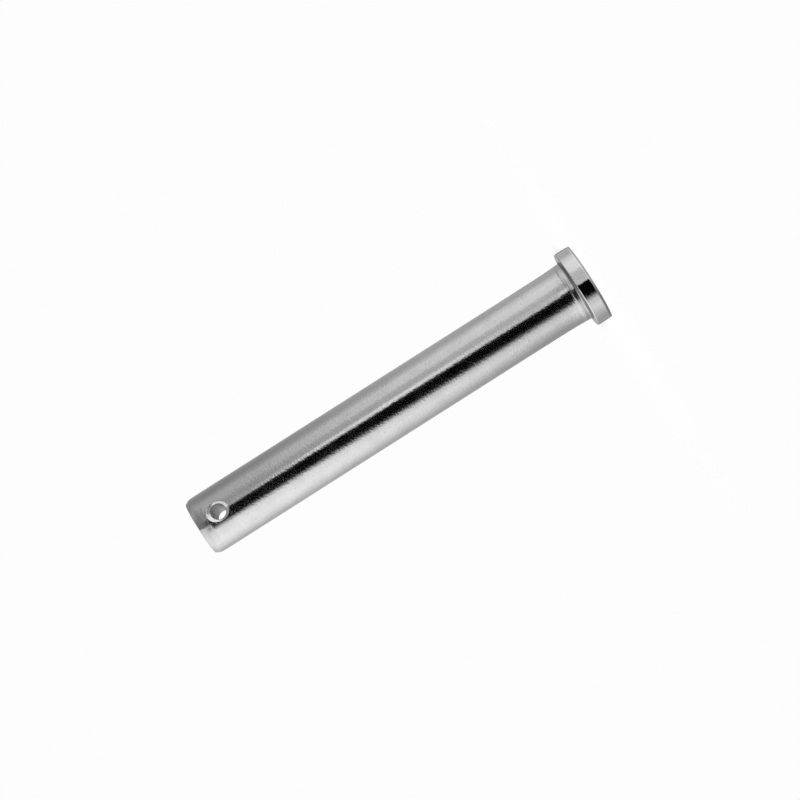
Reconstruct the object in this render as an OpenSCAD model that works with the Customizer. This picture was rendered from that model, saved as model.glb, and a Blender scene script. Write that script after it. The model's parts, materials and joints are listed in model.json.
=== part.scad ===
// Headed clevis pin: a plain round pin with a flat head, a chamfered tail and a countersunk cross hole
// for a split pin. It stands on its head, with the shank pointing up.

/* [Shank] */
// Diameter of the shank
shank_d = 12; // [8:0.1:14]
// Length of the shank, from the seat under the head to the end of the tail
shank_len = 86; // [20:0.5:160]

/* [Head] */
// Diameter of the head
head_d = 16; // [14.5:0.1:30]
// Thickness of the head
head_h = 3.2; // [1.5:0.1:8]
// Rounding of the edge round the head's outer face
outer_edge_r = 0.6; // [0.1:0.05:1]
// Rounding of the edge round the seat under the head
seat_edge_r = 0.25; // [0.1:0.05:0.5]

/* [Flare] */
// Length over which the shank widens towards the head
flare_len = 3.4; // [1:0.1:8]
// How much the shank's radius grows over the flare
flare_rise = 0.22; // [0.05:0.01:0.4]
// Radius of the fillet between the flare and the seat
seat_fillet_r = 0.4; // [0.1:0.05:0.6]

/* [Tail] */
// Length of the chamfer along the tail
tail_chamfer_len = 1; // [0.3:0.05:2]
// Depth of the chamfer into the tail's radius
tail_chamfer_depth = 0.5; // [0.2:0.05:1.5]

/* [Split-pin hole] */
// Diameter of the hole
hole_d = 3.1; // [1.6:0.1:4]
// Distance from the hole's axis to the end of the tail
hole_to_tail = 5; // [4:0.1:15]
// How much wider the countersink is than the hole, each side
sink_width = 0.8; // [0.2:0.05:1.2]
// Full angle of the countersink
sink_angle = 100; // [60:5:120]

/* [Hidden] */
$fn = 96;
shank_r = shank_d / 2;
head_r = head_d / 2;
hole_r = hole_d / 2;
flare_r = shank_r + flare_rise;
flare_z = head_h + flare_len;
tail_r = shank_r - tail_chamfer_depth;
tail_z = head_h + shank_len;
hole_z = tail_z - hole_to_tail;
// Depth of the countersink's cone below the crown of the shank
sink_depth = sink_width / tan(sink_angle / 2);
// How far each cutter runs on past the crown of the shank
cutter_overrun = 1;

// What lies between a square corner at the origin and the round that touches both its sides
module corner_web(radius) {
    difference() {
        square(radius);
        translate([radius, radius]) circle(radius);
    }
}

// Half of the pin's lengthwise section, with its radius along X and its height along Y
module half_section() {
    difference() {
        union() {
            square([head_r, head_h]);
            polygon([
                [0, 0],
                [flare_r, 0],
                [flare_r, head_h + seat_fillet_r],
                [shank_r, flare_z],
                [shank_r, tail_z - tail_chamfer_len],
                [tail_r, tail_z],
                [0, tail_z]
            ]);
            translate([flare_r, head_h]) corner_web(seat_fillet_r);
        }
        translate([head_r, 0]) rotate(90) corner_web(outer_edge_r);
        translate([head_r, head_h]) rotate(180) corner_web(seat_edge_r);
    }
}

// The drill's path across the shank along Y, with a countersink at each mouth
module split_pin_hole() {
    sink_reach = sink_depth + cutter_overrun;
    translate([0, 0, hole_z]) rotate([90, 0, 0]) {
        cylinder(h = shank_d + 2 * cutter_overrun, r = hole_r, center = true);
        for (side = [0, 180])
            rotate([side, 0, 0])
                translate([0, 0, shank_r - sink_depth])
                    cylinder(h = sink_reach, r1 = hole_r, r2 = hole_r + sink_reach * tan(sink_angle / 2));
    }
}

module clevis_pin() {
    color("silver") difference() {
        rotate_extrude() half_section();
        split_pin_hole();
    }
}

clevis_pin();
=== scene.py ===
# A headed steel clevis pin, stood on its head and photographed in a small light tent.
import bpy
import json
import math
from mathutils import Matrix, Vector


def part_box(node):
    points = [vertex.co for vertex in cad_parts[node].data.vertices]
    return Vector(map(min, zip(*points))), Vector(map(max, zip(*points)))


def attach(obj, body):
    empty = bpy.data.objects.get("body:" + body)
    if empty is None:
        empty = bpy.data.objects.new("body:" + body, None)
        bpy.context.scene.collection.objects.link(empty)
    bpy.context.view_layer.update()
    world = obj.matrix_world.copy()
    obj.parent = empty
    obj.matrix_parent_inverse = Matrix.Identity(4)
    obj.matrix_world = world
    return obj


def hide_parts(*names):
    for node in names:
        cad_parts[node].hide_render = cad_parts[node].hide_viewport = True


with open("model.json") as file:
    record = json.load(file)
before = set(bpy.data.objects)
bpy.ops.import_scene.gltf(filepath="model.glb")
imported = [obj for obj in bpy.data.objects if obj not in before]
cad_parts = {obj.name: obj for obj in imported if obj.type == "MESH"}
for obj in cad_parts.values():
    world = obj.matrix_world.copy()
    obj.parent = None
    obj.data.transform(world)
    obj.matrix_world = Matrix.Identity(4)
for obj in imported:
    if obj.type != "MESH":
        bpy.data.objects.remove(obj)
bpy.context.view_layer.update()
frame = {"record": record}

# The pin: one piece of bright drawn steel bar. Its head is upset and turned, and its tail is chamfered.
# It is then drilled across for a split pin, countersunk at both mouths and tumbled to take off the burrs.
mm = 0.001
mounts = {mount["name"]: mount for mount in frame["record"]["mounts"]}
shank = mounts["shank"]
hole = mounts["split_pin_hole"]
pin_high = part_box("clevis_pin")[1]

shank_r = shank["dims"]["r_mm"] * mm
shank_half_len = shank["dims"]["length_mm"] * mm / 2
flare_end_z = shank["pos_m"][2] - shank_half_len
chamfer_z = shank["pos_m"][2] + shank_half_len
head_r = pin_high.x
seat_z = mounts["head_seat"]["pos_m"][2]
tail_z = pin_high.z
hole_r = hole["dims"]["r_mm"] * mm
hole_z = hole["pos_m"][2]

outer_edge_r = 0.5 * mm
seat_edge_r = 0.2 * mm
seat_fillet_r = 0.55 * mm
# Next to the head the shank flares out to a narrow ring, where the dies met when the head was upset
ring_r = shank_r + 0.165 * mm
ring_z = flare_end_z - 2.3 * mm
ring_edge_r = 3 * mm
flare_r = shank_r + 0.115 * mm
flare_z = ring_z + 0.6 * mm
flare_bend_r = shank_r + 0.03 * mm
flare_curve_r = 40 * mm
flare_fade_z = flare_end_z + 2.4 * mm
plain_shank_z = flare_end_z + 4 * mm
# Cropping the bar has drawn its end in a little, from this height on
drawn_in_z = tail_z - 2.65 * mm
drawn_in_slope = math.tan(math.radians(1.5))
tail_r = shank_r - 0.5 * mm
chamfer_edge_r = 0.8 * mm
tail_edge_r = 0.2 * mm
# The countersink's wall rises by this much for each step away from its axis, which is a touch off the hole's
sink_slope = 1 / math.tan(math.radians(54))
sink_z = hole_z + 0.03 * mm
sink_width = 0.8 * mm
bore_half_len = shank_r - sink_width * sink_slope
# The lip of each mouth is eased over this width
mouth_edge = 0.07 * mm
# Each flat run gets a guard point this far from its rounded corner, which keeps its shading flat
guard = 0.04 * mm
# Round each mouth lies a patch of small faces, counted from its middle out to the mouth and to its edge
patch_half_h = 3.4 * mm
patch_cells = 24
mouth_cells = 12

# Half of the lengthwise section: each corner's radius, height and rounding, and the cuts in the run after it
section_corners = [
    (0, 0, 0, 0),
    (head_r - outer_edge_r - guard, 0, 0, 0),
    (head_r, 0, outer_edge_r, 0),
    (head_r, outer_edge_r + guard, 0, 0),
    (head_r, seat_z - seat_edge_r - guard, 0, 0),
    (head_r, seat_z, seat_edge_r, 0),
    (head_r - seat_edge_r - guard, seat_z, 0, 0),
    (ring_r + seat_fillet_r + guard, seat_z, 0, 0),
    (ring_r, seat_z, seat_fillet_r, 0),
    (ring_r, ring_z, ring_edge_r, 0),
    (flare_r, flare_z, ring_edge_r, 0),
    (flare_bend_r, flare_end_z, flare_curve_r, 0),
    (shank_r, flare_fade_z, flare_curve_r, 0),
    (shank_r, plain_shank_z, 0, 0),
    (shank_r, sink_z - patch_half_h, 0, 2 * patch_cells - 1),
    (shank_r, sink_z + patch_half_h, 0, 0),
    (shank_r, chamfer_z, chamfer_edge_r, 0),
    (tail_r, tail_z, tail_edge_r, 0),
    (tail_r - tail_edge_r, tail_z, 0, 0),
    (0, tail_z, 0, 0),
]
section = bpy.data.meshes.new("pin_section")
section_edges = [(step, step + 1) for step in range(len(section_corners) - 1)]
section.from_pydata([(corner[0], 0, corner[1]) for corner in section_corners], section_edges, [])
rounding_values = section.attributes.new("rounding", "FLOAT", "POINT").data
rounding_values.foreach_set("value", [corner[2] for corner in section_corners])
cut_values = section.attributes.new("cuts", "INT", "POINT").data
cut_values.foreach_set("value", [corner[3] for corner in section_corners])
pin = bpy.data.objects.new("clevis_pin_steel", section)
bpy.context.scene.collection.objects.link(pin)


def add_node(tree, kind, feeds=None, **settings):
    """Add a node, set its options, and feed its inputs with plain values or other nodes' outputs."""
    node = tree.nodes.new(kind)
    for name, value in settings.items():
        setattr(node, name, value)
    for key, feed in (feeds or {}).items():
        if isinstance(feed, bpy.types.NodeSocket):
            tree.links.new(feed, node.inputs[key])
        else:
            node.inputs[key].default_value = feed
    return node


def calc(tree, operation, *terms):
    """Add one step of arithmetic and give its result."""
    return add_node(tree, "ShaderNodeMath", dict(enumerate(terms)), operation=operation).outputs[0]


def plus(tree, first, second):
    """Add two numbers."""
    return calc(tree, "ADD", first, second)


def minus(tree, first, second):
    """Take the second number from the first."""
    return calc(tree, "SUBTRACT", first, second)


def times(tree, first, second):
    """Multiply two numbers."""
    return calc(tree, "MULTIPLY", first, second)


def over(tree, first, second):
    """Divide the first number by the second."""
    return calc(tree, "DIVIDE", first, second)


def to_point(tree, x, y, z):
    """Join three numbers into a point."""
    return add_node(tree, "ShaderNodeCombineXYZ", {"X": x, "Y": y, "Z": z}).outputs[0]


turning = bpy.data.node_groups.new("turn and drill the pin", "GeometryNodeTree")
turning_inputs = {}
for name, kind in [
    ("Section", "Geometry"),
    ("Segments", "Int"),
    ("Corner Steps", "Int"),
    ("Shank Radius", "Float"),
    ("Head Height", "Float"),
    ("Hole Radius", "Float"),
    ("Hole Height", "Float"),
    ("Bore Half Length", "Float"),
    ("Mouth Edge", "Float"),
    ("Sink Slope", "Float"),
    ("Sink Height", "Float"),
    ("Drawn In Height", "Float"),
    ("Drawn In Slope", "Float"),
    ("Patch Half Height", "Float"),
    ("Patch Cells", "Int"),
    ("Mouth Cells", "Int"),
    ("Shank Finish", "Material"),
    ("Head Finish", "Material"),
    ("Hole Finish", "Material"),
]:
    socket = turning.interface.new_socket(name, in_out="INPUT", socket_type="NodeSocket" + kind)
    turning_inputs[name] = socket.identifier
turning.interface.new_socket("Pin", in_out="OUTPUT", socket_type="NodeSocketGeometry")
given = turning.nodes.new("NodeGroupInput").outputs
result = turning.nodes.new("NodeGroupOutput").inputs
# Points nearer than this are one point
same_place = 0.001 * mm


def section_value(name, kind):
    """A value that the section's corners carry."""
    return add_node(turning, "GeometryNodeInputNamedAttribute", {"Name": name}, data_type=kind).outputs[0]


def move_points(mesh, place, where=True):
    """Move the chosen points of the mesh to their new place."""
    feeds = {"Geometry": mesh, "Selection": where, "Position": place}
    return add_node(turning, "GeometryNodeSetPosition", feeds).outputs[0]


def weld(mesh):
    """Join the points of the mesh that lie in one place."""
    feeds = {"Geometry": mesh, "Distance": same_place}
    return add_node(turning, "GeometryNodeMergeByDistance", feeds).outputs[0]


# The section's corners are rounded, and the run across the hole is cut into rows of small faces
rounding = section_value("rounding", "FLOAT")
cuts = section_value("cuts", "INT")
outline = add_node(turning, "GeometryNodeMeshToCurve", {"Mesh": given["Section"]}).outputs[0]
outline = add_node(turning, "GeometryNodeSubdivideCurve", {"Curve": outline, "Cuts": cuts}).outputs[0]
outline = add_node(
    turning,
    "GeometryNodeFilletCurve",
    {"Curve": outline, "Count": given["Corner Steps"], "Radius": rounding},
    mode="POLY",
).outputs[0]

# Turning: each column of a grid takes the section's points and swings them round the axis
outline_count = add_node(turning, "GeometryNodeAttributeDomainSize", {0: outline}, component="CURVE")
rows = outline_count.outputs["Point Count"]
columns = plus(turning, given["Segments"], 1)
grid = add_node(turning, "GeometryNodeMeshGrid", {"Vertices X": columns, "Vertices Y": rows}).outputs[0]
index = add_node(turning, "GeometryNodeInputIndex").outputs[0]
# Half a step more keeps the division clear of rounding
half_step = 0.5
column = calc(turning, "FLOOR", over(turning, plus(turning, index, half_step), rows))
row = minus(turning, index, times(turning, column, rows))
position = add_node(turning, "GeometryNodeInputPosition").outputs[0]
outline_point = add_node(
    turning,
    "GeometryNodeSampleIndex",
    {"Geometry": outline, "Value": position, "Index": row},
    data_type="FLOAT_VECTOR",
    domain="POINT",
).outputs[0]
outline_xyz = add_node(turning, "ShaderNodeSeparateXYZ", {0: outline_point}).outputs
swing = over(turning, times(turning, column, math.tau), given["Segments"])
turned_place = to_point(
    turning,
    times(turning, outline_xyz["X"], calc(turning, "COSINE", swing)),
    times(turning, outline_xyz["X"], calc(turning, "SINE", swing)),
    outline_xyz["Z"],
)
turned = weld(move_points(grid, turned_place))

# Drilling: the small faces at each mouth are taken out, and those round it are drawn in to the sink's rim
place = add_node(turning, "ShaderNodeSeparateXYZ", {0: position}).outputs
up = minus(turning, place["Z"], given["Sink Height"])
side = calc(turning, "SIGN", place["Y"])
lean = calc(turning, "ARCTAN2", place["X"], calc(turning, "ABSOLUTE", place["Y"]))
cells_round = times(turning, lean, over(turning, given["Segments"], math.tau))
cell_h = over(turning, given["Patch Half Height"], given["Patch Cells"])
cells_up = over(turning, up, cell_h)
cells_off = calc(
    turning, "MAXIMUM", calc(turning, "ABSOLUTE", cells_round), calc(turning, "ABSOLUTE", cells_up)
)
at_mouth = calc(turning, "LESS_THAN", cells_off, given["Mouth Cells"])
opened = add_node(
    turning, "GeometryNodeDeleteGeometry", {"Geometry": turned, "Selection": at_mouth}, domain="FACE"
).outputs[0]

# The rim is where the countersink's cone leaves the round shank, at each angle round the hole
angle = calc(turning, "ARCTAN2", up, place["X"])
angle_cos = calc(turning, "COSINE", angle)
angle_sin = calc(turning, "SINE", angle)
slope = given["Sink Slope"]
cone_foot = minus(turning, given["Bore Half Length"], times(turning, slope, given["Hole Radius"]))
shank_squared = times(turning, given["Shank Radius"], given["Shank Radius"])
square_term = plus(turning, times(turning, angle_cos, angle_cos), times(turning, slope, slope))
half_term = times(turning, cone_foot, slope)
plain_term = minus(turning, times(turning, cone_foot, cone_foot), shank_squared)
under_root = minus(
    turning, times(turning, half_term, half_term), times(turning, square_term, plain_term)
)
rim_r = over(turning, minus(turning, calc(turning, "SQRT", under_root), half_term), square_term)


def on_cone(radius):
    """How far from the pin's axis the countersink's wall is, at a radius from the hole's axis."""
    return plus(turning, cone_foot, times(turning, slope, radius))


def blend_between(start, end, share):
    """Blend two lengths of the turning tree."""
    return plus(turning, start, times(turning, minus(turning, end, start), share))


# The lip lies just outside the rim, and the patch spreads from there to its own unmoved edge
lip_r = plus(turning, rim_r, given["Mouth Edge"])
lip_lean = calc(
    turning, "ARCSINE", over(turning, times(turning, lip_r, angle_cos), given["Shank Radius"])
)
lip_up = times(turning, lip_r, angle_sin)
outward = over(
    turning,
    minus(turning, cells_off, given["Mouth Cells"]),
    minus(turning, given["Patch Cells"], given["Mouth Cells"]),
)
spread_lean = blend_between(lip_lean, lean, outward)
spread_up = blend_between(lip_up, up, outward)
spread_depth = times(turning, given["Shank Radius"], calc(turning, "COSINE", spread_lean))
spread_place = to_point(
    turning,
    times(turning, given["Shank Radius"], calc(turning, "SINE", spread_lean)),
    times(turning, side, spread_depth),
    plus(turning, given["Sink Height"], spread_up),
)
patch_edge = 0.999
in_patch = calc(turning, "LESS_THAN", outward, patch_edge)
drilled = move_points(opened, spread_place, in_patch)

# From each open rim the wall goes in ring by ring: over the eased lip, down the cone and along the bore
faces_beside = add_node(turning, "GeometryNodeInputMeshEdgeNeighbors").outputs[0]
# An open edge has one face beside it
lone_face = 1
count_slack = 0.1
ring = calc(turning, "COMPARE", faces_beside, lone_face, count_slack)
edge = given["Mouth Edge"]
half_edge = times(turning, edge, 0.5)
quarter_edge = times(turning, edge, 0.25)
rim_y = minus(turning, on_cone(rim_r), quarter_edge)
cone_r = minus(turning, rim_r, edge)
inner_r = minus(turning, cone_r, half_edge)
guard_r = plus(turning, given["Hole Radius"], edge)
deep_r = plus(turning, given["Hole Radius"], half_edge)
bore_y = minus(turning, given["Bore Half Length"], half_edge)
guard_y = minus(turning, bore_y, half_edge)
for wall_r, wall_y, wall_z in [
    (rim_r, rim_y, given["Sink Height"]),
    (cone_r, on_cone(cone_r), given["Sink Height"]),
    (inner_r, on_cone(inner_r), given["Sink Height"]),
    (guard_r, on_cone(guard_r), given["Hole Height"]),
    (deep_r, on_cone(deep_r), given["Hole Height"]),
    (given["Hole Radius"], bore_y, given["Hole Height"]),
    (given["Hole Radius"], guard_y, given["Hole Height"]),
    (given["Hole Radius"], 0, given["Hole Height"]),
]:
    wall = add_node(
        turning,
        "GeometryNodeExtrudeMesh",
        {"Mesh": drilled, "Selection": ring, "Offset Scale": 0},
        mode="EDGES",
    ).outputs
    ring = wall["Top"]
    wall_place = to_point(
        turning,
        times(turning, wall_r, angle_cos),
        times(turning, side, wall_y),
        plus(turning, wall_z, times(turning, wall_r, angle_sin)),
    )
    drilled = move_points(wall["Mesh"], wall_place, ring)
drilled = weld(drilled)

# The tail's end is drawn in towards the axis
past_start = calc(turning, "MAXIMUM", minus(turning, place["Z"], given["Drawn In Height"]), 0)
drawn_in = over(turning, times(turning, past_start, given["Drawn In Slope"]), given["Shank Radius"])
kept_share = minus(turning, 1, drawn_in)
drawn_in_place = to_point(
    turning,
    times(turning, place["X"], kept_share),
    times(turning, place["Y"], kept_share),
    place["Z"],
)
drawn_end = move_points(drilled, drawn_in_place)
smooth = add_node(turning, "GeometryNodeSetShadeSmooth", {"Geometry": drawn_end}).outputs[0]

# The head, the drilled wall and the rest each get their own finish
from_hole = calc(
    turning, "SQRT", plus(turning, times(turning, place["X"], place["X"]), times(turning, up, up))
)
in_hole = calc(turning, "LESS_THAN", from_hole, rim_r)
on_head = calc(turning, "LESS_THAN", place["Z"], given["Head Height"])
finished = add_node(turning, "GeometryNodeRealizeInstances", {"Geometry": smooth}).outputs[0]
for where, finish in [(True, "Shank Finish"), (on_head, "Head Finish"), (in_hole, "Hole Finish")]:
    finished = add_node(
        turning,
        "GeometryNodeSetMaterial",
        {"Geometry": finished, "Selection": where, "Material": given[finish]},
    ).outputs[0]
turning.links.new(finished, result[0])


def new_group(name, takes, gives):
    """A shader group with named number inputs and outputs: the group, and both their sockets inside it."""
    group = bpy.data.node_groups.new(name, "ShaderNodeTree")
    for label in takes:
        group.interface.new_socket(label, in_out="INPUT", socket_type="NodeSocketFloat")
    for label in gives:
        group.interface.new_socket(label, in_out="OUTPUT", socket_type="NodeSocketFloat")
    return group, group.nodes.new("NodeGroupInput").outputs, group.nodes.new("NodeGroupOutput").inputs


def object_spot(tree):
    """Where a point lies on the piece, in metres."""
    return add_node(tree, "ShaderNodeTexCoord").outputs["Object"]


def noise(tree, spot, scale, detail, roughness=0.5):
    """A soft random pattern."""
    feeds = {"Vector": spot, "Scale": scale, "Detail": detail, "Roughness": roughness}
    return add_node(tree, "ShaderNodeTexNoise", feeds).outputs[0]


def ease(tree, value, low, high):
    """A soft step: 0 at the first bound and before it, 1 at the second and past it."""
    return add_node(
        tree,
        "ShaderNodeMapRange",
        {"Value": value, "From Min": low, "From Max": high},
        interpolation_type="SMOOTHSTEP",
    ).outputs[0]


# Tumbling leaves fine ripples and a scatter of deeper nicks, both drawn out round the pin
tumbling, takes, gives = new_group(
    "tumbling dents", ["Size", "Stretch", "Nicks"], ["Height", "Grain", "Pits"]
)
nick_fineness = 0.6
nick_reach = 0.5
nick_rarity = 8
grain_fineness = 1.1
drawn_out = to_point(tumbling, 1, 1, takes["Stretch"])
spot = add_node(
    tumbling, "ShaderNodeVectorMath", {0: object_spot(tumbling), 1: drawn_out}, operation="MULTIPLY"
).outputs[0]
fineness = over(tumbling, 1, takes["Size"])
ripple = noise(tumbling, spot, fineness, detail=1.2, roughness=0.6)
nick = add_node(
    tumbling, "ShaderNodeTexVoronoi", {"Vector": spot, "Scale": times(tumbling, fineness, nick_fineness)}
).outputs
nick_shape = ease(tumbling, nick["Distance"], nick_reach, 0)
nick_chance = add_node(tumbling, "ShaderNodeSeparateColor", {0: nick["Color"]}).outputs[0]
nick_depth = calc(tumbling, "POWER", nick_chance, nick_rarity)
pit = times(tumbling, nick_depth, nick_shape)
grain = noise(tumbling, spot, times(tumbling, fineness, grain_fineness), detail=2)
tumbling.links.new(minus(tumbling, ripple, times(tumbling, pit, takes["Nicks"])), gives["Height"])
tumbling.links.new(grain, gives["Grain"])
tumbling.links.new(pit, gives["Pits"])

# A cutting tool leaves rings, one beside the other along its path, that waver a little on their way round
cutting, takes, gives = new_group("tool rings", ["Along", "Pitch", "Waver"], ["Height"])
spot = add_node(
    cutting, "ShaderNodeVectorMath", {0: object_spot(cutting), "Scale": takes["Waver"]}, operation="SCALE"
).outputs[0]
step = to_point(cutting, over(cutting, takes["Along"], takes["Pitch"]), 0, 0)
spot = add_node(cutting, "ShaderNodeVectorMath", {0: spot, 1: step}, operation="ADD").outputs[0]
cutting.links.new(noise(cutting, spot, scale=1, detail=2, roughness=0.7), gives["Height"])

# Handling leaves short thin scratches, and patches that are a little duller than the rest
handling, takes, gives = new_group("handling marks", ["Scratch Size"], ["Scratches", "Dullness"])
patch_fineness = 260
patch_start = 0.35
patch_full = 0.7
break_fineness = 420
break_start = 0.56
break_full = 0.66
scratch_turn = (0.4, 0.5, 0.2)
scratch_stretch = (1, 1, 0.25)
scratch_half_width = 0.012
spot = object_spot(handling)
patches = noise(handling, spot, patch_fineness, detail=3, roughness=0.6)
handling.links.new(ease(handling, patches, patch_start, patch_full), gives["Dullness"])
slanted = add_node(
    handling, "ShaderNodeMapping", {"Vector": spot, "Rotation": scratch_turn, "Scale": scratch_stretch}
).outputs[0]
lines = add_node(
    handling,
    "ShaderNodeTexVoronoi",
    {"Vector": slanted, "Scale": over(handling, 1, takes["Scratch Size"])},
    feature="DISTANCE_TO_EDGE",
).outputs[0]
lines = ease(handling, lines, scratch_half_width, 0)
broken = noise(handling, spot, break_fineness, detail=1)
broken = ease(handling, broken, break_start, break_full)
handling.links.new(times(handling, lines, broken), gives["Scratches"])


def new_steel(name, colour, roughness):
    """A steel material with a plain colour and roughness, to be worked over: it, its tree and its shader."""
    material = bpy.data.materials.new(name)
    material.use_nodes = True
    tree = material.node_tree
    shader = tree.nodes["Principled BSDF"]
    shader.inputs["Base Color"].default_value = (colour, colour, colour, 1)
    shader.inputs["Metallic"].default_value = 1
    shader.inputs["Roughness"].default_value = roughness
    return material, tree, shader


def use_group(tree, group, **takes):
    """Place a shader group in a material: the outputs of its node."""
    feeds = {label.replace("_", " "): feed for label, feed in takes.items()}
    return add_node(tree, "ShaderNodeGroup", feeds, node_tree=group).outputs


def object_height(tree):
    """Height above the floor on the piece, in metres."""
    return add_node(tree, "ShaderNodeSeparateXYZ", {0: object_spot(tree)}).outputs["Z"]


def mix_values(tree, share, first, second):
    """Mix two numbers."""
    feeds = {"Factor": share, "A": first, "B": second}
    return add_node(tree, "ShaderNodeMix", feeds, data_type="FLOAT").outputs[0]


def add_weighted(tree, base, *parts):
    """A base value with each mask added to it, times its weight."""
    total = base
    for mask, weight in parts:
        total = plus(tree, total, times(tree, mask, weight))
    return total


# One step of a bump's height stands for a hundredth of a millimetre
bump_step = 0.01 * mm


def finish_steel(tree, shader, relief, roughness, shade):
    """Give steel its relief in bump steps, its roughness, and the shade of its neutral colour."""
    bump = add_node(tree, "ShaderNodeBump", {"Height": relief, "Distance": bump_step}).outputs[0]
    grey = {"Red": shade, "Green": shade, "Blue": shade}
    colour = add_node(tree, "ShaderNodeCombineColor", grey).outputs[0]
    for feed, name in [(bump, "Normal"), (roughness, "Roughness"), (colour, "Base Color")]:
        tree.links.new(feed, shader.inputs[name])


# The shank keeps the tool's rings on the flare and at the tail, and painted shade in the corner by the head
tumbled_steel, tree, shader = new_steel("tumbled_steel", colour=0.77, roughness=0.12)
shank_dents = 1.8
near_head_dents = 2
tail_dents = 1
flare_rings = 4.5
tail_rings = 0.3
# Sliding in its bore has polished the tail's half
drawn_roughness = 0.11
slid_roughness = 0.09
clean_shade = 0.8
middle_grain = 0.5
height = object_height(tree)
# Painted shade: the corner by the head is painted darker, and made a little rougher
in_shaded_corner = ease(tree, height, seat_z + 0.5 * mm, seat_z + 0.2 * mm)
on_flare = ease(tree, height, seat_z + 1.9 * mm, seat_z + 1.3 * mm)
near_head = ease(tree, height, seat_z + 12.8 * mm, seat_z + 4.8 * mm)
slid = ease(tree, height, tail_z - 34.2 * mm, tail_z - 14.2 * mm)
on_tail = ease(tree, height, tail_z - 12 * mm, tail_z - 4 * mm)
dents = use_group(tree, tumbling, Size=0.5 * mm, Stretch=1.2, Nicks=0.5)
rings = use_group(tree, cutting, Along=height, Pitch=0.45 * mm, Waver=150)["Height"]
marks = use_group(tree, handling, Scratch_Size=5 * mm)
grain = minus(tree, dents["Grain"], middle_grain)
dent_depth = mix_values(tree, near_head, shank_dents, near_head_dents)
dent_depth = mix_values(tree, on_tail, dent_depth, tail_dents)
ring_depth = plus(tree, times(tree, on_flare, flare_rings), times(tree, on_tail, tail_rings))
relief = times(tree, dents["Height"], dent_depth)
relief = add_weighted(tree, relief, (rings, ring_depth), (marks["Scratches"], -0.3))
roughness = add_weighted(
    tree,
    mix_values(tree, slid, drawn_roughness, slid_roughness),
    (marks["Dullness"], 0.03),
    (marks["Scratches"], 0.05),
    (on_flare, 0.08),
    (in_shaded_corner, 0.15),
)
shade = add_weighted(
    tree,
    clean_shade,
    (marks["Dullness"], -0.05),
    (grain, 0.14),
    (dents["Pits"], -0.15),
    # Painted shade: the flare next to the head is painted a little darker
    (on_flare, -0.05),
    # Painted shade in the corner by the head
    (in_shaded_corner, -0.42),
)
finish_steel(tree, shader, relief, roughness, shade)

# The head is turned smoother than the shank is drawn. Its outer edge is dulled by standing and rubbing, and
# carries painted shade where it meets the floor
turned_steel, tree, shader = new_steel("turned_steel", colour=0.84, roughness=0.08)
head_dents = 0.8
turned_roughness = 0.05
clean_shade = 0.88
height = object_height(tree)
edge_wear_and_shade = ease(tree, height, outer_edge_r + 0.02 * mm, outer_edge_r / 2)
dents = use_group(tree, tumbling, Size=0.6 * mm, Stretch=2, Nicks=0.5)
rings = use_group(tree, cutting, Along=height, Pitch=0.5 * mm, Waver=120)["Height"]
marks = use_group(tree, handling, Scratch_Size=4 * mm)
grain = minus(tree, dents["Grain"], middle_grain)
relief = times(tree, dents["Height"], head_dents)
relief = add_weighted(tree, relief, (rings, 0.3), (marks["Scratches"], -0.5))
roughness = add_weighted(tree, turned_roughness, (marks["Dullness"], 0.03), (edge_wear_and_shade, 0.2))
# Painted shade: the outer edge is painted darker, as well as made rougher
shade = add_weighted(tree, clean_shade, (marks["Dullness"], -0.04), (grain, 0.2), (edge_wear_and_shade, -0.38))
finish_steel(tree, shader, relief, roughness, shade)

# The drill leaves coarser rings round its own path, along Y, and a duller wall than the countersink's, which
# is painted darker as shade inside the bore
drilled_steel, tree, shader = new_steel("drilled_steel", colour=0.8, roughness=0.2)
sink_rings = 0.7
bore_rings = 4
sink_roughness = 0.08
bore_roughness = 0.38
sink_shade = 0.8
# Painted shade: the bore's wall is painted darker than the countersink's
bore_painted_shade = 0.62
depth = add_node(tree, "ShaderNodeSeparateXYZ", {0: object_spot(tree)}).outputs["Y"]
depth = calc(tree, "ABSOLUTE", depth)
in_bore = ease(tree, depth, shank_r - 0.7 * mm, shank_r - 1 * mm)
rings = use_group(tree, cutting, Along=depth, Pitch=0.3 * mm, Waver=300)["Height"]
finish_steel(
    tree,
    shader,
    relief=times(tree, rings, mix_values(tree, in_bore, sink_rings, bore_rings)),
    roughness=mix_values(tree, in_bore, sink_roughness, bore_roughness),
    shade=mix_values(tree, in_bore, sink_shade, bore_painted_shade),
)

# The head's finish reaches a hair past its seat
head_finish_z = seat_z + 0.01 * mm
lathe = pin.modifiers.new("turn and drill", "NODES")
lathe.node_group = turning
for name, value in {
    "Segments": 256,
    "Corner Steps": 8,
    "Shank Radius": shank_r,
    "Head Height": head_finish_z,
    "Hole Radius": hole_r,
    "Hole Height": hole_z,
    "Bore Half Length": bore_half_len,
    "Mouth Edge": mouth_edge,
    "Sink Slope": sink_slope,
    "Sink Height": sink_z,
    "Drawn In Height": drawn_in_z,
    "Drawn In Slope": drawn_in_slope,
    "Patch Half Height": patch_half_h,
    "Patch Cells": patch_cells,
    "Mouth Cells": mouth_cells,
    "Shank Finish": tumbled_steel,
    "Head Finish": turned_steel,
    "Hole Finish": drilled_steel,
}.items():
    lathe[turning_inputs[name]] = value
evaluated = pin.evaluated_get(bpy.context.evaluated_depsgraph_get())
pin.data = bpy.data.meshes.new_from_object(evaluated)
pin.modifiers.clear()
# The bare section had no finish, so its empty slot goes
pin.data.materials.pop(index=0)
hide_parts("clevis_pin")
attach(pin, "root")

# The camera: a long lens, level with the middle of the pin and well back from it. It is rolled, so that
# the pin lies across the frame with its head up.
focal_px = 3000
frame_px = 800
px_per_mm = 5.167
sensor_mm = 36
camera_azimuth = math.radians(-10.7)
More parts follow.
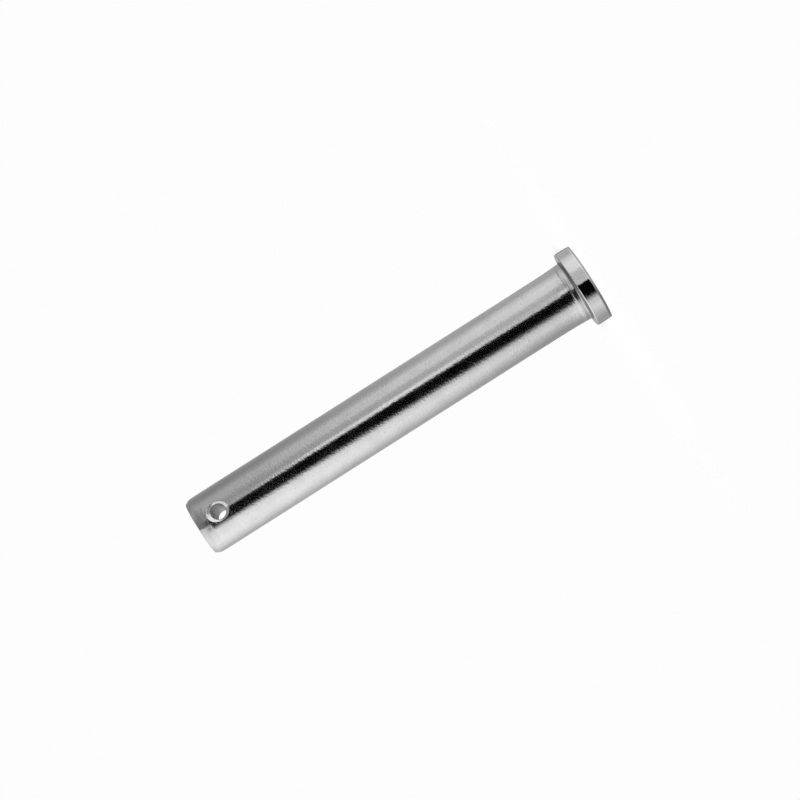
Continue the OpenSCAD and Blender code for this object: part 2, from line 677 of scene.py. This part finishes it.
# How much of a step along the pin towards its tail goes right in the frame, and how much goes up
tail_right = -0.84386
tail_above = -0.53656
aim_below_tail = 45.91 * mm
aim_across = 0.337 * mm
back = Vector((math.sin(camera_azimuth), -math.cos(camera_azimuth), 0))
across = Vector((math.cos(camera_azimuth), math.sin(camera_azimuth), 0))
along_pin = Vector((0, 0, 1))
camera_right = tail_above * across + tail_right * along_pin
camera_up = -tail_right * across + tail_above * along_pin
distance = focal_px / px_per_mm * mm
aim = along_pin * (tail_z - aim_below_tail) + across * aim_across
camera = bpy.data.objects.new("camera", bpy.data.cameras.new("camera"))
camera.data.sensor_width = sensor_mm
camera.data.lens = sensor_mm * focal_px / frame_px
turn = Matrix((camera_right, camera_up, back)).transposed().to_4x4()
camera.matrix_world = Matrix.Translation(aim + back * distance) @ turn
bpy.context.scene.collection.objects.link(camera)
bpy.context.scene.camera = camera

# The floor: a plain white sheet under the pin, in a white room. The pin's finish mirrors the tent that
# follows, not the floor. From below, the sheet lets the head's outer face be seen.
white = 0.98
room_light = 0.15
floor_half = 4
floor_z = -0.01 * mm
world = bpy.data.worlds.new("white_room")
bpy.context.scene.world = world
world.use_nodes = True
room = world.node_tree
ray = add_node(room, "ShaderNodeLightPath").outputs
seen = calc(room, "MAXIMUM", ray["Is Camera Ray"], ray["Is Glossy Ray"])
seen = calc(room, "MAXIMUM", seen, ray["Is Transmission Ray"])
room_strength = mix_values(room, seen, room_light, white)
room.nodes["Background"].inputs["Color"].default_value = (1, 1, 1, 1)
room.links.new(room_strength, room.nodes["Background"].inputs["Strength"])
floor_mesh = bpy.data.meshes.new("floor")
floor_corners = [
    (-floor_half, -floor_half, floor_z),
    (floor_half, -floor_half, floor_z),
    (floor_half, floor_half, floor_z),
    (-floor_half, floor_half, floor_z),
]
floor_mesh.from_pydata(floor_corners, [], [(0, 1, 2, 3)])
white_sheet = bpy.data.materials.new("white_sheet")
white_sheet.use_nodes = True
sheet = white_sheet.node_tree
white_shader = sheet.nodes["Principled BSDF"]
white_shader.inputs["Base Color"].default_value = (white, white, white, 1)
white_shader.inputs["Roughness"].default_value = 1
white_shader.inputs["Specular IOR Level"].default_value = 0
from_below = add_node(sheet, "ShaderNodeNewGeometry").outputs["Backfacing"]
see_through = add_node(sheet, "ShaderNodeBsdfTransparent").outputs[0]
one_sided = add_node(
    sheet, "ShaderNodeMixShader", {0: from_below, 1: white_shader.outputs[0], 2: see_through}
).outputs[0]
sheet.links.new(one_sided, sheet.nodes["Material Output"].inputs["Surface"])
floor_mesh.materials.append(white_sheet)
floor = bpy.data.objects.new("floor", floor_mesh)
bpy.context.scene.collection.objects.link(floor)
floor.visible_glossy = False

# The lamp: a soft one, high behind the camera, that lights the floor to its plain white. It leans so that
# the pin's shadow falls behind the pin, and the steel doesn't mirror it.
lamp_lean = math.radians(22)
lamp_spread = math.radians(6)
lamp = bpy.data.objects.new("front_lamp", bpy.data.lights.new("front_lamp", "SUN"))
lamp.data.angle = lamp_spread
lamp.data.energy = (1 - room_light) * math.pi / math.cos(lamp_lean)
lamp.rotation_euler = (lamp_lean, 0, camera_azimuth)
lamp.visible_glossy = False
lamp.data.cycles.max_bounces = 0
bpy.context.scene.collection.objects.link(lamp)

# The tent: a tall round wall of white cloth that the steel mirrors. It is lit unevenly through the cloth,
# and it has a dark gap that the camera looks through and a lower one opposite.
tent_r = 0.6
tent_foot_z = -4
tent_top_z = 3
tent_columns = 64
tent_points = []
tent_faces = [tuple(range(1, 2 * tent_columns, 2))]
for tent_column in range(tent_columns):
    tent_swing = math.tau * tent_column / tent_columns
    for end_z in (tent_foot_z, tent_top_z):
        tent_points.append((tent_r * math.cos(tent_swing), tent_r * math.sin(tent_swing), end_z))
    this = 2 * tent_column
    following = 2 * ((tent_column + 1) % tent_columns)
    tent_faces.append((this, this + 1, following + 1, following))
tent_mesh = bpy.data.meshes.new("tent")
tent_mesh.from_pydata(tent_points, [], tent_faces)
lit_cloth = bpy.data.materials.new("lit_cloth")
lit_cloth.use_nodes = True
lit_cloth.cycles.emission_sampling = "NONE"
cloth = lit_cloth.node_tree
cloth.nodes.clear()
spot = object_spot(cloth)


def cloth_reach(direction):
    """How far a point of the cloth lies along a direction."""
    feeds = {0: spot, 1: direction}
    return add_node(cloth, "ShaderNodeVectorMath", feeds, operation="DOT_PRODUCT").outputs["Value"]


# A point of the cloth is told by its level, and by its bearing to the camera's right as the pin sees it
bearing = calc(cloth, "DEGREES", calc(cloth, "ARCTAN2", cloth_reach(-across), cloth_reach(back)))
half_turn = 180
bearing_share = over(cloth, plus(cloth, bearing, half_turn), 2 * half_turn)
level = add_node(cloth, "ShaderNodeSeparateXYZ", {0: spot}).outputs["Z"]


def cloth_light(*stops):
    """How bright the cloth is round the pin: pairs of a bearing, in degrees, and a brightness."""
    ramp = add_node(cloth, "ShaderNodeValToRGB", {"Fac": bearing_share})
    elements = ramp.color_ramp.elements
    while len(elements) < len(stops):
        elements.new(1)
    for element, (degrees, light) in zip(elements, stops):
        element.position = (degrees + half_turn) / (2 * half_turn)
        element.color = (light, light, light, 1)
    return ramp.outputs[0]


def share_between(value, low, high):
    """How far a value has come from low to high, held between 0 and 1."""
    feeds = {"Value": value, "From Min": low, "From Max": high}
    return add_node(cloth, "ShaderNodeMapRange", feeds).outputs[0]


def soft_band(value, rise, fall):
    """A soft band: it comes up over the rise, stays at 1 and goes down over the fall."""
    return times(cloth, ease(cloth, value, rise[0], rise[1]), ease(cloth, value, fall[1], fall[0]))


# The cloth is brightest on its right near the top, and on its left near the foot
roof_light = cloth_light(
    (-180, 0.40), (-130, 0.26), (-80, 0.36), (-45, 0.24), (4, 0.17), (9, 0.64),
    (46, 0.80), (80, 0.92), (112, 0.88), (128, 0.70), (180, 0.40),
)
tail_light = cloth_light(
    (-180, 0.45), (-129, 0.28), (-112, 0.26), (-96, 0.32), (-80, 0.43), (-60, 0.44), (-46, 0.36),
    (-36, 0.33), (-22, 0.36), (46, 0.93), (70, 1.00), (90, 0.98), (114, 0.75), (135, 0.53), (180, 0.45),
)
middle_light = cloth_light(
    (-180, 0.45), (-129, 0.42), (-112, 0.42), (-96, 0.50), (-80, 0.70), (-53, 0.69), (-46, 0.49),
    (-36, 0.46), (-26, 0.50), (46, 0.78), (70, 0.90), (90, 0.80), (114, 0.58), (135, 0.44), (180, 0.45),
)
head_light = cloth_light(
    (-180, 0.45), (-129, 0.44), (-114, 0.44), (-100, 0.65), (-80, 0.80), (-53, 0.76), (-46, 0.57),
    (-36, 0.50), (-20, 0.51), (46, 0.60), (70, 0.73), (90, 0.55), (114, 0.39), (135, 0.34), (180, 0.45),
)
foot_light = cloth_light(
    (-180, 0.45), (-130, 0.80), (-60, 1.00), (-40, 0.90), (-22, 0.70), (-10, 0.90),
    (6, 0.35), (130, 0.28), (180, 0.45),
)
ceiling_light = 0.8
roof_level = 158 * mm
tail_level = 110 * mm
middle_level = 34 * mm
head_level = -24 * mm
foot_level = -130 * mm
ceiling_level = 2
roof_seam = 2 * mm
foot_fade = 50 * mm
ceiling_fade = 0.5
wall_light = mix_values(cloth, share_between(level, head_level, middle_level), head_light, middle_light)
wall_light = mix_values(cloth, share_between(level, middle_level, tail_level), wall_light, tail_light)

# Left of the gap the cloth hangs in narrow folds, and a bright strip of light falls beside the gap's edge
fold_width = 4.5
fold_depth = 0.35
strip_light = 0.93
folds = calc(cloth, "SINE", times(cloth, bearing, math.tau / fold_width))
in_folds = soft_band(bearing, rise=(-56, -46), fall=(-25, -20))
fold_light = times(cloth, times(cloth, in_folds, folds), fold_depth)
wall_light = times(cloth, wall_light, plus(cloth, fold_light, 1))
strip_across = soft_band(bearing, rise=(-28, -22), fall=(-8, -6))
strip_along = soft_band(level, rise=(-25 * mm, 45 * mm), fall=(66 * mm, 112 * mm))
wall_light = mix_values(cloth, times(cloth, strip_across, strip_along), wall_light, strip_light)

# Above the wall comes the roof and then a plain ceiling, and below it the foot
over_top = ease(cloth, level, roof_level - roof_seam, roof_level + roof_seam)
wall_light = mix_values(cloth, over_top, wall_light, roof_light)
at_ceiling = ease(cloth, level, ceiling_level - ceiling_fade, ceiling_level)
wall_light = mix_values(cloth, at_ceiling, wall_light, ceiling_light)
under_foot = ease(cloth, level, foot_level + foot_fade, foot_level)
wall_light = mix_values(cloth, under_foot, wall_light, foot_light)


def slanted_edge(start, slant, low, high):
    """The bearing of an edge of the gap, which slants to the left between two levels."""
    return minus(cloth, start, times(cloth, share_between(level, low, high), slant))


def past_edge(edge, softness):
    """A soft step from the left of an edge of the gap to its right."""
    steps_past = over(cloth, minus(cloth, bearing, edge), softness)
    return ease(cloth, steps_past, step_start, step_end)


# The gap's left edge is cut nearly straight. Cloth hangs over its right edge at a slant, with a low hem
gap_dark = 0.002
gap_foot_level = -250 * mm
gap_foot_fade = 80 * mm
step_start = -1.1
step_end = 0.9
left_softness = 2
left_softness_gain = 3
right_softness = 11
hem_softness = 6
hem_width = 4
hem = soft_band(level, rise=(-32 * mm, -26 * mm), fall=(-22 * mm, -12 * mm))
above_head = share_between(level, head_level, middle_level)
left_edge = slanted_edge(start=-7.5, slant=8, low=2 * head_level, high=tail_level)
left_soft = plus(cloth, left_softness, times(cloth, above_head, left_softness_gain))
right_edge = slanted_edge(start=41, slant=13, low=12 * mm, high=106 * mm)
right_edge = minus(cloth, right_edge, times(cloth, hem, hem_width))
right_soft = plus(cloth, right_softness, times(cloth, hem, hem_softness))
past_right = past_edge(right_edge, right_soft)
gap = times(cloth, past_edge(left_edge, left_soft), minus(cloth, 1, past_right))
gap = times(cloth, gap, minus(cloth, 1, over_top))
gap = times(cloth, gap, ease(cloth, level, gap_foot_level, gap_foot_level + gap_foot_fade))
rear_start = 155
rear_full = 168
rear_across = ease(cloth, calc(cloth, "ABSOLUTE", bearing), rear_start, rear_full)
rear_along = soft_band(level, rise=(-120 * mm, -80 * mm), fall=(-40 * mm, 0))
gap = calc(cloth, "MAXIMUM", gap, times(cloth, rear_across, rear_along))
glow = add_node(cloth, "ShaderNodeEmission", {"Strength": mix_values(cloth, gap, wall_light, gap_dark)})
add_node(cloth, "ShaderNodeOutputMaterial", {"Surface": glow.outputs[0]})
tent_mesh.materials.append(lit_cloth)
tent = bpy.data.objects.new("tent", tent_mesh)
bpy.context.scene.collection.objects.link(tent)
tent.visible_camera = False
tent.visible_diffuse = False
tent.visible_transmission = False
tent.visible_volume_scatter = False
tent.visible_shadow = False

# Colours are shown as they are
bpy.context.scene.view_settings.view_transform = "Standard"
